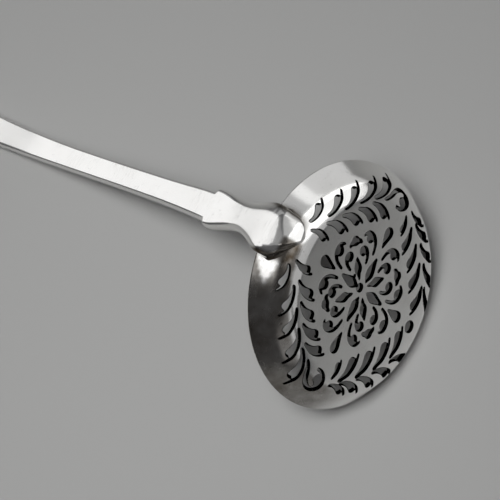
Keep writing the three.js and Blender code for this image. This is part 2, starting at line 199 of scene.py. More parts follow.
@dataclass(frozen=True)
class Skin:
    """Outside of the bowl: a flat bottom, a round shoulder and a straight wall, turned about Z.

    A place on it is given by its flat layout: the direction from the centre and the distance over the
    skin, as if the bowl were unrolled.
    """

    flat_radius: float = 17.5
    shoulder_radius: float = 6.8
    shoulder_turn: float = math.radians(51)
    wall_length: float = 4.1

    @property
    def rim_at(self) -> float:
        """Distance from the centre to the rim, over the skin."""
        return self.flat_radius + self.shoulder_radius * self.shoulder_turn + self.wall_length

    def section(
        self, along: np.ndarray, off: np.ndarray | float
    ) -> tuple[np.ndarray, np.ndarray, np.ndarray]:
        """Section of the skin, set off outwards.

        On the shoulder the slope is the distance past the flat over the shoulder's radius; past it the
        wall runs on straight at the full turn.

        Args:
            along: distance from the centre over the skin.
            off: distance off the skin.

        Returns:
            Radius, height and slope at each distance.
        """
        past = np.maximum(along - self.flat_radius, 0.0)
        slope = np.minimum(past / self.shoulder_radius, self.shoulder_turn)
        straight = np.maximum(past - self.shoulder_radius * self.shoulder_turn, 0.0)
        bend = self.shoulder_radius + off
        flat = np.minimum(along, self.flat_radius)
        radius = flat + bend * np.sin(slope) + straight * np.cos(slope)
        height = bend * np.cos(slope) - self.shoulder_radius - straight * np.sin(slope)
        return radius, height, slope

    def wrap(self, layout: np.ndarray, off: np.ndarray | float) -> np.ndarray:
        """Wraps places of the flat layout over the skin: each keeps its direction from the centre.

        Args:
            layout: places of the flat layout.
            off: distance off the skin.

        Returns:
            Points in the bowl's frame.
        """
        along = np.linalg.norm(layout, axis=1)
        radius, height, _ = self.section(along, off)
        scale = np.where(along < 1e-6, 1.0, radius / np.maximum(along, TINY))
        return np.column_stack([layout * scale[:, None], height])

    def normals(self, layout: np.ndarray) -> np.ndarray:
        """Outward normals of the skin: the slope leans them away from the centre.

        Args:
            layout: places of the flat layout.

        Returns:
            A unit normal for each place.
        """
        along = np.linalg.norm(layout, axis=1)
        slope = self.section(along, 0.0)[2]
        away = layout / np.maximum(along, TINY)[:, None]
        return np.column_stack([away * np.sin(slope)[:, None], np.cos(slope)])

    def unwrap(self, points: np.ndarray) -> tuple[np.ndarray, np.ndarray]:
        """Lays points near the skin out flat, the reverse of wrap.

        Seen from the shoulder's centre, the angle from straight up tells whether the flat, the shoulder
        or the wall is nearest.

        Args:
            points: in the bowl's frame.

        Returns:
            Place in the flat layout, and distance off the skin, of each point.
        """
        radius = np.hypot(points[:, 0], points[:, 1])
        across, up = radius - self.flat_radius, points[:, 2] + self.shoulder_radius
        angle = np.arctan2(across, up)
        s, c = math.sin(self.shoulder_turn), math.cos(self.shoulder_turn)
        bend = self.shoulder_radius * self.shoulder_turn
        on_wall = self.flat_radius + bend + across * c - up * s
        along = np.where(angle <= 0, radius, self.flat_radius + self.shoulder_radius * angle)
        off = np.where(angle <= 0, points[:, 2], np.hypot(across, up) - self.shoulder_radius)
        along = np.where(angle > self.shoulder_turn, on_wall, along)
        off = np.where(angle > self.shoulder_turn, across * s + up * c - self.shoulder_radius, off)
        return points[:, :2] / np.maximum(radius, TINY)[:, None] * along[:, None], off


def make_piece(
    name: str,
    local: np.ndarray,
    faces: list[tuple[int, ...]],
    normals: np.ndarray | None,
    marks: dict[str, np.ndarray],
) -> bpy.types.Object:
    """Makes a mesh object at the origin from points in the bowl's frame.

    Args:
        name: the object's name.
        local: points in millimetres, shape (n, 3).
        faces: corners of each face, anticlockwise seen from outside.
        normals: a normal for each point where the shape's formula gives one.
        marks: values for each point that the finish reads, by name.

    Returns:
        The object, smooth shaded.
    """
    placement = Placement()
    mesh = bpy.data.meshes.new(name)
    mesh.from_pydata(placement.points(local).tolist(), [], faces)
    mesh.update()
    mesh.shade_smooth()
    for mark, values in marks.items():
        mesh.attributes.new(mark, "FLOAT", "POINT").data.foreach_set("value", values.astype(np.float32))
    if normals is not None:
        mesh.normals_split_custom_set_from_vertices(placement.directions(normals).tolist())
    piece = bpy.data.objects.new(name, mesh)
    bpy.context.scene.collection.objects.link(piece)
    return piece


def strip(first: np.ndarray, second: np.ndarray) -> list[tuple[int, ...]]:
    """Faces between two closed rings of the same count.

    Args:
        first: numbers of one ring's points, in order.
        second: numbers of the other's.

    Returns:
        Four corners of each face.
    """
    a, b = first, np.roll(first, -1)
    c, d = np.roll(second, -1), second
    return list(map(tuple, np.stack([a, b, c, d], 1).tolist()))


def tube(rows: int, count: int) -> list[tuple[int, ...]]:
    """Faces of a closed tube of rings, with a cap at each end.

    Args:
        rows: how many rings, whose points are numbered one ring after the other.
        count: points of a ring.

    Returns:
        Corners of each face.
    """
    ring = np.arange(rows * count).reshape(rows, count)
    walls = [face for low, high in zip(ring[:-1], ring[1:]) for face in strip(high, low)]
    return walls + [tuple(ring[0].tolist()), tuple(ring[-1][::-1].tolist())]


def turn_out(piece: bpy.types.Object) -> None:
    """Turns a closed mesh's faces outwards where its volume comes out negative.

    The volume is a sixth of the sum, over all triangles, of one corner times the cross product of the
    other two.

    Args:
        piece: the object of the mesh.
    """
    mesh = piece.data
    mesh.calc_loop_triangles()
    count = len(mesh.loop_triangles)
    index = np.empty(count * 3, np.int32)
    mesh.loop_triangles.foreach_get("vertices", index)
    co = np.empty(len(mesh.vertices) * 3, np.float32)
    mesh.vertices.foreach_get("co", co)
    corner = co.reshape(-1, 3)[index.reshape(-1, 3)].astype(float)
    volume = np.einsum("ij,ij->i", corner[:, 0], np.cross(corner[:, 1], corner[:, 2])).sum() / 6
    if volume < 0:
        mesh.flip_normals()
    log.info("%s: volume %.1f mm3", piece.name, abs(volume) * MM_PER_M**3)


# The saw-piercing.


class Corner(Enum):
    """Sides of the rosette, in quarter turns anticlockwise from the top."""

    TOP = 0
    LEFT = 1
    BOTTOM = 2
    RIGHT = 3


def mirrored(half: Table) -> Table:
    """A whole outline from its right half, which starts on the axis; the left half runs back to it."""
    return (*half, *((-x, y) for x, y in reversed(half) if x != 0))


@dataclass(frozen=True)
class Piercing:
    """The sawyer's design in the flat layout, with the small slips of the hand that the ladle shows.

    Rosette outlines are in shares of its radius, across the motif's axis and then out along it. Slips
    are millimetres across and out, for petal, comma, scroll and trefoil. A leaf's outline is in shares
    of the line from its base to the tip of its tail, along it and to its left; the rows of leaves give
    x and y of base and tip in millimetres, as the corner scroll's points are. The eye and the slip hole
    are x, y and radius, the bud is its distance out, its radius and where its inner side is cut.
    """

    radius: float = 11.0
    turn: float = math.radians(-133)
    shift: float = 0.6
    eye: Vec3 = (-0.58, 0.68, 0.82)
    slip_hole: Vec3 = (-1.66, 3.5, 0.26)
    bud: Vec3 = (17.5, 1.2, 16.1)
    petal: Table = mirrored((
        (0, 0.2), (0.022, 0.26), (0.036, 0.315), (0.062, 0.352), (0.078, 0.405), (0.066, 0.47), (0.036, 0.54),
        (0.014, 0.6), (0, 0.62),
    ))
    slant_petal: Table = (
        (0, 0.145), (0.025, 0.19), (0.062, 0.245), (0.086, 0.315), (0.08, 0.39), (0.055, 0.47), (0.03, 0.55),
        (0.01, 0.62), (-0.012, 0.622), (-0.035, 0.55), (-0.06, 0.47), (-0.083, 0.39), (-0.084, 0.31),
        (-0.06, 0.245), (-0.022, 0.185),
    )
    comma: Table = (
        (0.216, 0.634), (0.168, 0.614), (0.12, 0.636), (0.094, 0.69), (0.112, 0.748), (0.166, 0.778),
        (0.222, 0.768), (0.27, 0.725), (0.29, 0.66), (0.284, 0.582), (0.252, 0.51), (0.205, 0.448),
        (0.185, 0.452), (0.213, 0.516), (0.236, 0.586),
    )
    scroll: Table = (
        (0.24, 0.955), (0.262, 0.985), (0.31, 1.0), (0.373, 1.005), (0.445, 0.965), (0.502, 0.89),
        (0.523, 0.8), (0.508, 0.705), (0.466, 0.622), (0.405, 0.545), (0.388, 0.552), (0.43, 0.634),
        (0.462, 0.716), (0.468, 0.775), (0.448, 0.81), (0.4, 0.79), (0.342, 0.804), (0.308, 0.855),
        (0.314, 0.91), (0.32, 0.945), (0.285, 0.965),
    )
    trefoil: Table = (
        (-0.152, 0.848), (-0.145, 0.905), (-0.085, 0.945), (-0.04, 0.998), (0.04, 0.998), (0.085, 0.945),
        (0.145, 0.905), (0.152, 0.848), (0.1, 0.868), (0.05, 0.86), (0, 0.848), (-0.05, 0.86), (-0.1, 0.868),
    )
    teardrop: Table = mirrored((
        (0, 0.852), (0.03, 0.93), (0.064, 1.03), (0.092, 1.12), (0.088, 1.195), (0.035, 1.245),
    ))
    slips: dict[Corner, Table] = field(default_factory=lambda: {
        Corner.TOP: ((-0.45, 0.1), (-0.45, 0.0), (-0.5, 0.05), (-0.35, 0.1)),
        Corner.LEFT: ((0.15, 0.5), (0.25, 0.35), (0.2, 0.15), (0.55, -0.1)),
        Corner.BOTTOM: ((0.2, -0.45), (-0.4, -0.4), (-0.6, -0.3), (-0.5, -0.6)),
        Corner.RIGHT: ((-0.3, -0.6), (0.05, -0.1), (0.15, 0.15), (0.6, 0.1)),
    })
    outer_leaf: Table = (
        (0.0, 0.015), (-0.008, -0.02), (0.02, -0.062), (0.075, -0.095), (0.228, -0.161), (0.418, -0.205),
        (0.615, -0.207), (0.748, -0.186), (0.85, -0.135), (0.92, -0.09), (1.0, -0.03), (1.0, 0.004),
        (0.96, -0.022), (0.86, -0.072), (0.81, -0.095), (0.775, -0.085), (0.768, -0.03), (0.739, 0.024),
        (0.68, 0.055), (0.608, 0.051), (0.517, 0.014), (0.406, -0.025), (0.272, -0.044), (0.127, -0.028),
    )
    inner_leaf: Table = (
        (0.0, 0.03), (0.06, 0.075), (0.169, 0.114), (0.358, 0.186), (0.574, 0.19), (0.75, 0.151),
        (0.882, 0.092), (0.96, 0.042), (1.0, 0.008), (0.985, -0.022), (0.94, -0.004), (0.885, 0.032),
        (0.85, 0.042), (0.825, 0.005), (0.793, -0.085), (0.723, -0.138), (0.62, -0.128), (0.503, -0.066),
        (0.38, -0.019), (0.212, 0.006), (0.08, -0.004), (0.01, -0.006),
    )
    near_inner: Table = (
        (-11.4, 15.8, -7.5, 12.7), (-7.5, 16.0, -2.2, 12.85), (-3.2, 16.2, 1.95, 13.3),
        (1.2, 16.35, 6.0, 12.45), (5.2, 16.35, 9.35, 11.85),
    )
    near_outer: Table = (
        (-11.0, 17.5, -6.75, 21.05), (-6.8, 17.4, -1.8, 21.35), (-2.3, 17.45, 2.9, 21.85),
        (1.8, 17.6, 8.5, 21.4), (6.1, 17.3, 14.3, 20.9),
    )
    far_inner: Table = (
        (14.2, 11.1, 12.2, 7.4), (15.4, 8.3, 12.1, 3.4), (16.3, 4.4, 13.1, -0.8), (16.9, 0.1, 13.0, -5.2),
        (17.0, -5.0, 12.8, -9.9),
    )
    low_inner: Table = (
        (-10.7, -15.0, -7.5, -12.2), (-9.0, -16.2, -2.6, -12.8), (-4.3, -17.2, 2.0, -13.0),
        (0.8, -17.4, 6.5, -12.7), (5.8, -16.8, 10.4, -11.6),
    )
    far_outer: Table = (
        (16.4, 11.3, 20.6, 7.1), (17.0, 8.6, 21.6, 3.4), (17.8, 4.0, 22.3, -1.3), (18.2, -0.5, 21.9, -7.0),
        (17.85, -5.6, 20.2, -12.6),
    )
    corner_scroll: Table = (
        (8.75, 16.15), (9.4, 16.3), (10.4, 16.4), (11.4, 16.7), (12.6, 16.95), (13.7, 17.0), (14.8, 16.8),
        (15.8, 16.3), (16.55, 15.4), (16.75, 14.4), (16.4, 13.4), (15.6, 12.7), (14.5, 12.35), (13.3, 12.4),
        (12.3, 12.85), (11.55, 13.75), (11.75, 13.95), (12.5, 13.3), (13.1, 13.25), (12.95, 13.9),
        (13.15, 14.6), (13.8, 14.9), (14.6, 14.65), (15.2, 14.75), (15.55, 15.3), (15.0, 15.9), (14.0, 16.2),
        (12.8, 16.25), (11.6, 15.95), (10.4, 15.8), (9.2, 15.85),
    )

    @staticmethod
    def turned(outline: np.ndarray, angle: float) -> np.ndarray:
        """An outline turned anticlockwise about the centre."""
        c, s = math.cos(angle), math.sin(angle)
        return outline @ np.array([[c, s], [-s, c]])

    @staticmethod
    def across_handle(outline: np.ndarray) -> np.ndarray:
        """An outline mirrored across the handle's diagonal: x and y change places and signs."""
        return -outline[:, ::-1]

    @staticmethod
    def disc(x: float, y: float, radius: float) -> np.ndarray:
        """A round outline."""
        angle = np.linspace(0, 2 * math.pi, LEAST_POINTS, endpoint=False)
        return np.column_stack([x + radius * np.cos(angle), y + radius * np.sin(angle)])

    @staticmethod
    def leaf(shape: Table, row: Sequence[float]) -> np.ndarray:
        """A leaf's outline on the line from its base to the tip of its tail.

        Args:
            shape: shares of that line, along it and to its left.
            row: base and tip, x and y of each.

        Returns:
            Points of the outline in millimetres.
        """
        base, tip = np.array(row[:2]), np.array(row[2:])
        run = tip - base
        left = np.array([-run[1], run[0]])
        shares = np.asarray(shape, float)
        return base + shares[:, :1] * run + shares[:, 1:] * left

    def motif(
        self, shape: Table, angle: float, slip: Sequence[float] = (0.0, 0.0), side: float = 1.0
    ) -> np.ndarray:
        """A motif of the rosette, mirrored where side is -1, slipped, and turned by the angle."""
        return self.turned(np.array(shape) * self.radius * np.array([side, 1.0]) + np.array(slip), angle)

    def rosette(self) -> list[np.ndarray]:
        """Eye, petals, commas, scrolls, trefoils and teardrops.

        Returns:
            Outlines in millimetres, before the design is turned to the handle.
        """
        made = [self.disc(*self.eye), self.disc(*self.slip_hole)]
        for corner in Corner:
            angle = corner.value * math.pi / 2
            petal, comma, scroll, trefoil = self.slips[corner]
            made += [self.motif(self.petal, angle, petal), self.motif(self.trefoil, angle, trefoil)]
            for side in (1.0, -1.0):
                made.append(self.motif(self.comma, angle, comma, side))
                made.append(self.motif(self.scroll, angle, scroll, side))
            slant = angle + math.pi / 4
            made += [self.motif(self.slant_petal, slant), self.motif(self.teardrop, slant)]
        return made

    def fronds(self) -> list[np.ndarray]:
        """Four fronds of ten leaves, the two corner scrolls and the bud.

        Returns:
            Outlines in millimetres, before the design is turned to the handle.
        """
        near = [self.leaf(self.inner_leaf, row) for row in self.near_inner]
        near += [self.leaf(self.outer_leaf, row) for row in self.near_outer]
        near.append(np.array(self.corner_scroll))
        made = near + [self.across_handle(outline) for outline in near]
        made += [self.leaf(self.inner_leaf, row) for row in self.far_inner]
        flipped = np.array(self.inner_leaf) * np.array([1.0, -1.0])
        made += [self.leaf(flipped, row) for row in self.low_inner]
        far = [self.leaf(self.outer_leaf, row) for row in self.far_outer]
        made += far + [self.across_handle(outline) for outline in far]
        out, radius, cut = self.bud
        bud = self.disc(out, 0.0, radius)
        bud[:, 0] = np.maximum(bud[:, 0], cut)
        made.append(self.turned(bud, -math.pi / 4))
        return made

    def outlines(self, spacing: float) -> list[np.ndarray]:
        """Every outline, turned to the handle, shifted and smoothed.

        Args:
            spacing: distance between an outline's points, about.

        Returns:
            Closed curves in the bowl's flat layout.
        """
        shift = np.array([self.shift, 0.0])
        return [
            rounded(self.turned(outline, self.turn) + shift, spacing)
            for outline in self.rosette() + self.fronds()
        ]


@dataclass(frozen=True)
class BowlPatinaAndShade:
    """Where the bowl is painted darker: painted shade and a painted dark reflection, with a painted highlight
    left bright.

    A band is where a change begins and where it is complete. Bands along are millimetres over the skin
    from the centre, bands round are degrees from the handle towards positive Y, bands of the cut are
    sines of the edge's turn, and the drop's middle is a place in the flat layout.
    """

    strength: float = 0.85
    inside: float = 0.3
    inside_cut_shade: float = 0.65
    cut_begins: Band = (0.0, 0.4)
    cut_wall_shade: Band = (0.8, 1.0)
    drop_middle: Band = (25.3, 0.7)
    drop_shade_beside: Band = (5.0, 6.3)
    drop_shade_along: Band = (19.8, 21.8)
    dark_reflection_along: Band = (19.6, 20.2)
    dark_reflection_from: Band = (0.0, 4.0)
    dark_reflection_to: Band = (95.0, 130.0)
    highlight_along: Band = (22.8, 23.4)
    highlight_round: Band = (25.0, 28.0)
    highlight_middle: float = 25.0
    highlight_slant: float = 5.0

    def patina_and_shade(self, places: np.ndarray, inner: np.ndarray, cut: np.ndarray) -> np.ndarray:
        """How much each point is painted darker, from 0 to 1.

        Dark are the inside a little and the saw-cut walls, as painted shade in the holes; the skin close
        round the drop, as painted shade; and the wall on the side of positive Y, as a painted dark
        reflection, where a patch next to the drop, widest at its middle, stays bright as a painted highlight.

        Args:
            places: points of the flat layout.
            inner: share of the way through the sheet, from the outside.
            cut: sine of the turn from the face to the wall of the cut.

        Returns:
            How dark each point is painted.
        """
        along = np.linalg.norm(places, axis=1)
        round_at = np.degrees(np.arctan2(places[:, 1], places[:, 0]))
        beside = np.hypot(places[:, 0] - self.drop_middle[0], places[:, 1] - self.drop_middle[1])
        # Painted shade: the inside a little and the saw-cut walls much darker.
        inside_and_cut_shade = inner * (self.inside + self.inside_cut_shade * ease(*self.cut_begins, cut))
        inside_and_cut_shade = inside_and_cut_shade + self.strength * ease(*self.cut_wall_shade, cut)
        # Painted shade on the skin close round the drop.
        drop = self.strength * (1 - ease(*self.drop_shade_beside, beside)) * ease(*self.drop_shade_along, along)
        # Painted highlight: a patch of the wall next to the drop is kept bright.
        slant = round_at + self.highlight_slant * np.abs(along - self.highlight_middle)
        bright = ease(*self.highlight_along, along) * (1 - ease(*self.highlight_round, slant))
        # Painted dark reflection on the wall towards positive Y.
        wall = ease(*self.dark_reflection_along, along) * ease(*self.dark_reflection_from, round_at)
        wall = wall * (1 - ease(*self.dark_reflection_to, round_at))
        return np.clip(inside_and_cut_shade + drop + self.strength * wall * (1 - bright), 0.0, 1.0)


@dataclass
class SifterBowl:
    """The raised round bowl: one sheet of silver, pierced, with softened saw edges and a rounded rim.

    Sizes are millimetres. Saw edges and rim are quarter rounds, with a ring of points at each edge
    angle, in degrees. The metal is filled with rings of points, spaced flat_spacing apart up to flat_to,
    and from bend_from on every bend_rings with points bend_spacing apart. They keep the margins clear
    of rim and holes, and points closer than merge are one.
    """

    skin: Skin = field(default_factory=Skin)
    piercing: Piercing = field(default_factory=Piercing)
    patina_and_shade_marks: BowlPatinaAndShade = field(default_factory=BowlPatinaAndShade)
    sheet: float = 0.9
    saw_edge: float = 0.18
    rim_edge: float = 0.22
    edge_angles: tuple[float, ...] = (30.0, 60.0, 90.0)
    spacing: float = 0.26
    rim_points: int = 300
    flat_spacing: float = 1.4
    flat_to: float = 16.5
    bend_from: float = 17.0
    bend_rings: float = 0.62
    bend_spacing: float = 0.8
    rim_margin: float = 0.4
    hole_margin: float = 0.3
    merge: float = 1e-7

    def filling(self, edge_at: float, holes: list[np.ndarray]) -> np.ndarray:
        """Rings of points that fill the metal, closest where the shoulder bends.

        Args:
            edge_at: where the rim's rounding starts.
            holes: outer edge of each hole.

        Returns:
            The points that lie clear of the holes.
        """
        flat_at = np.arange(self.flat_spacing, self.flat_to, self.flat_spacing)
        bend_at = np.arange(self.bend_from, edge_at - self.rim_margin, self.bend_rings)
        fill = []
        for along in np.concatenate([flat_at, bend_at]):
            spacing = self.flat_spacing if along < self.bend_from else self.bend_spacing
            count = int(2 * math.pi * along / spacing)
            at = np.linspace(0, 2 * math.pi, count, endpoint=False) + along
            fill.append(along * np.column_stack([np.cos(at), np.sin(at)]))
        loose = np.vstack(fill)
        clear = np.ones(len(loose), bool)
        for hole in holes:
            apart = np.linalg.norm(loose[:, None, :] - hole[None, :, :], axis=2).min(1) > self.hole_margin
            clear &= apart & ~inside(loose, hole)
        return loose[clear]

    def layout(self, holes: list[np.ndarray]) -> tuple[np.ndarray, np.ndarray]:
        """Triangles of the pierced disc in the flat layout, with rim and holes kept as sides.

        Args:
            holes: outer edge of each hole.

        Returns:
            Points, those of the rim first and then the holes' in order, and triangles by number.
        """
        edge_at = self.skin.rim_at - self.rim_edge
        angle = np.linspace(0, 2 * math.pi, self.rim_points, endpoint=False)
        rings = [edge_at * np.column_stack([np.cos(angle), np.sin(angle)])] + holes
        edges: list[tuple[int, int]] = []
        start = 0
        for ring in rings:
            number = np.arange(len(ring)) + start
            edges += list(zip(number.tolist(), np.roll(number, -1).tolist()))
            start += len(ring)
        points = np.vstack(rings + [self.filling(edge_at, holes)])
        verts, _, faces, origin, _, _ = delaunay_2d_cdt(
            [Vector(p) for p in points.tolist()], edges, [], 0, self.merge
        )
        flat = np.array([tuple(v) for v in verts])
        triangles = np.array([tuple(f) for f in faces])
        order = np.array([min(o) if o else -1 for o in origin])
        added = order < 0
        log.info("bowl layout: %d points, %d added by crossings", len(flat), added.sum())
        middle = flat[triangles].mean(1)
        metal = np.linalg.norm(middle, axis=1) < edge_at
        for hole in holes:
            near = np.where(np.all((middle > hole.min(0)) & (middle < hole.max(0)), axis=1))[0]
            metal[near[inside(middle[near], hole)]] = False
        order[added] = len(points) + np.arange(added.sum())
        full = np.vstack([points, flat[added]])
        triangles = order[triangles[metal]]
        side = full[triangles]
        cross = np.cross(side[:, 1] - side[:, 0], side[:, 2] - side[:, 0])
        triangles[cross < 0] = triangles[cross < 0][:, ::-1]
        return full, triangles

    def rounds(self, radius: float) -> list[Vec3]:
        """Rings of an edge's two quarter rounds, from the outer face to the inner.

        At angle a a ring stands r(1 - sin a) from the cut and r(1 - cos a) below the outer face, and its
        normal turns by a towards the opening. The rings of the inner face mirror these.

        Args:
            radius: of the quarter rounds.

        Returns:
            Distance from the cut, depth and turn in degrees of each ring.
        """
        outer = []
        for turn in self.edge_angles:
            a = math.radians(turn)
            outer.append((radius * (1 - math.sin(a)), radius * (1 - math.cos(a)), turn))
        return outer + [(back, self.sheet - down, 180.0 - turn) for back, down, turn in reversed(outer)]

    def build(self) -> bpy.types.Object:
        """Makes the bowl: both faces of the sheet, and the rounded edges of the rim and of each saw cut.

        Returns:
            The bowl's object.
        """
        outlines = self.piercing.outlines(self.spacing)
        ways = [outward(outline) for outline in outlines]
        holes = [o + self.saw_edge * w for o, w in zip(outlines, ways)]
        layout, triangles = self.layout(holes)
        total = len(layout)
        up = self.skin.normals(layout)
        points = [self.skin.wrap(layout, 0.0), self.skin.wrap(layout, -self.sheet)]
        normals = [up, -up]
        inner = [np.zeros(total), np.ones(total)]
        cut = [np.zeros(total), np.zeros(total)]
        faces = [tuple(face) for face in triangles.tolist() + (triangles[:, ::-1] + total).tolist()]
        tally = 2 * total
        rim = layout[: self.rim_points]
        inward = -rim / np.linalg.norm(rim, axis=1, keepdims=True)
        edges = [(0, self.rim_edge, rim - self.rim_edge * inward, inward)]
        starts = np.cumsum([self.rim_points] + [len(hole) for hole in holes]).tolist()
        edges += [(start, self.saw_edge, o, w) for start, o, w in zip(starts, outlines, ways)]
        for start, radius, outline, way in edges:
            count = len(outline)
            last = np.arange(count) + start
            for back, down, turn in self.rounds(radius):
                place = outline + back * way
                a = math.radians(turn)
                lean = self.skin.normals(place)
                flat_way = np.column_stack([way, np.zeros(count)])
                tangent = flat_way - lean * np.sum(flat_way * lean, axis=1, keepdims=True)
                tangent /= np.linalg.norm(tangent, axis=1, keepdims=True)
                points.append(self.skin.wrap(place, -down))
                normals.append(lean * math.cos(a) - tangent * math.sin(a))
                inner.append(np.full(count, down / self.sheet))
                cut.append(np.full(count, math.sin(a)))
                number = np.arange(count) + tally
                faces += strip(number, last)
                last = number
                tally += count
            faces += strip(np.arange(count) + start + total, last)
        every = np.vstack(points)
        places, _ = self.skin.unwrap(every)
        patina_and_shade = self.patina_and_shade_marks.patina_and_shade(places, np.concatenate(inner), np.concatenate(cut))
        return make_piece("bowl", every, faces, np.vstack(normals), {"patina_and_shade": patina_and_shade})


# The handle and its solder.


@dataclass(frozen=True)
class HandlePatinaAndShade:
    """Where the handle is painted darker: painted shade on the drop, with a darker back and seam.

    A band is where a change begins and where it is complete. Bands down are shares of the thickness
    from the outer face; the others are millimetres, off the bowl, along from the rim and towards
    positive Y.
    """

    under: float = 0.45
    under_down: Band = (0.55, 0.95)
    seam: float = 0.8
    seam_off: Band = (0.1, 0.9)
    seam_past_rim: float = 0.6
    shade_down: Band = (0.12, 0.45)
    shade_along: Band = (0.0, 5.0)
    toe_shade_across: Band = (1.3, 1.9)
    toe_shade_along: Band = (-4.4, -3.6)

    def patina_and_shade(self, along: np.ndarray, across: np.ndarray, down: np.ndarray, off: np.ndarray) -> np.ndarray:
        """How much each point is painted darker, from 0 to 1.

        Dark are the back a little, the seam (a dark joint, with painted shade), and, as painted shade, the
        drop's sides and its toe on the side of positive Y.

        Args:
            along: millimetres from the rim.
            across: millimetres towards positive Y.
            down: share of the thickness under the outer face.
            off: millimetres off the bowl's skin.

        Returns:
            How dark each point is painted.
        """
        # Darker back; the seam is a dark joint with painted shade; shade and toe are painted shade on the
        # drop.
        under = ease(*self.under_down, down)
        seam = 1 - ease(*self.seam_off, np.abs(off) + self.seam_past_rim * np.maximum(along, 0))
        shade = ease(*self.shade_down, down) * (1 - ease(*self.shade_along, along))
        toe = ease(*self.toe_shade_across, across) * (1 - ease(*self.toe_shade_along, along))
        return np.clip(self.under * under + self.seam * seam + shade + toe, 0.0, 1.0)


